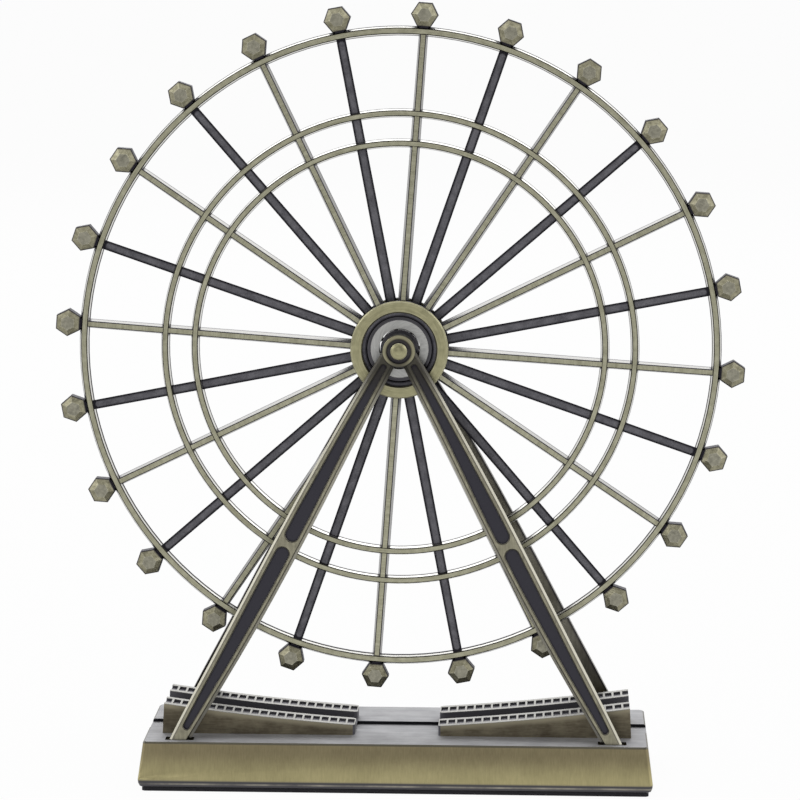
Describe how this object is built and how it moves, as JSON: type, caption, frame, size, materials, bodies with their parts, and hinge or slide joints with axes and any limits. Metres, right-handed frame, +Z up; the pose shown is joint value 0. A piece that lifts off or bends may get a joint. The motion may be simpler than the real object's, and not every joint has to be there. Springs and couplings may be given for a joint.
{
  "type": "ferris wheel toy",
  "caption": "Table-top ferris wheel ornament: spoked wheel with hexagonal cabins turning on a ball bearing between two leaning A-frames, on a rectangular base with two ramps.",
  "frame": {"origin": "middle of the underside of the base pad, on the surface that the ornament stands on", "axes": "+Z up; +X to the right of somebody facing the front; -Y towards that person; the wheel turns about a line along Y at Z = 98.67 mm"},
  "size_m": [0.1566, 0.0444, 0.177],
  "materials": {
    "aged_brass": "antique brass plating, raised faces brushed bright, recesses left dark",
    "brushed_base": "antique brass plating, sides brushed, top face polished",
    "ramp_casting": "antique brass plating, lands polished, channel and tread pockets dark",
    "dark_bronze": "dark oxidised plating, matt",
    "bearing_steel": "ground and polished",
    "shield_steel": "pressed sheet, satin",
    "plain_steel": "turned or pressed, plain",
    "pad_foam": "closed-cell foam sheet, matt"
  },
  "bodies": {
    "stand": {"base_shell": "brushed_base", "base_plate": "plain_steel", "base_plate_screws": "plain_steel", "base_pad": "pad_foam", "left_ramp": "ramp_casting", "right_ramp": "ramp_casting", "ramp_screws": "plain_steel", "front_frame": "aged_brass", "rear_frame": "aged_brass", "leg_screws": "plain_steel", "axle": "plain_steel", "front_axle_cap": "aged_brass", "rear_axle_cap": "aged_brass", "front_spacer": "plain_steel", "rear_spacer": "plain_steel", "bearing_inner_race": "bearing_steel"},
    "wheel": {"hub_barrel": "aged_brass", "front_flange": "aged_brass", "rear_flange": "aged_brass", "bearing_outer_race": "bearing_steel", "front_shield": "shield_steel", "rear_shield": "shield_steel", "rim": "aged_brass", "middle_ring": "aged_brass", "inner_ring": "aged_brass", "front_spokes": "aged_brass", "rear_spokes": "dark_bronze", "cabin_01": "aged_brass", "cabin_02": "aged_brass", "cabin_03": "aged_brass", "cabin_04": "aged_brass", "cabin_05": "aged_brass", "cabin_06": "aged_brass", "cabin_07": "aged_brass", "cabin_08": "aged_brass", "cabin_09": "aged_brass", "cabin_10": "aged_brass", "cabin_11": "aged_brass", "cabin_12": "aged_brass", "cabin_13": "aged_brass", "cabin_14": "aged_brass", "cabin_15": "aged_brass", "cabin_16": "aged_brass", "cabin_17": "aged_brass", "cabin_18": "aged_brass", "cabin_19": "aged_brass", "cabin_20": "aged_brass", "cabin_21": "aged_brass", "cabin_22": "aged_brass", "cabin_23": "aged_brass", "cabin_24": "aged_brass"},
    "ball_set": {"bearing_balls": "bearing_steel", "bearing_cage": "plain_steel"}
  },
  "joints": [
    {"name": "wheel_spin", "type": "hinge", "parent": "stand", "child": "wheel", "pos_m": [0, 0, 0.09867], "axis": [0, 1, 0], "continuous": true},
    {"name": "ball_set_spin", "type": "hinge", "parent": "stand", "child": "ball_set", "pos_m": [0, 0, 0.09867], "axis": [0, 1, 0], "continuous": true}
  ],
  "couplings": [
    {"joint": "ball_set_spin", "follows": "wheel_spin", "ratio": 0.6019}
  ]
}
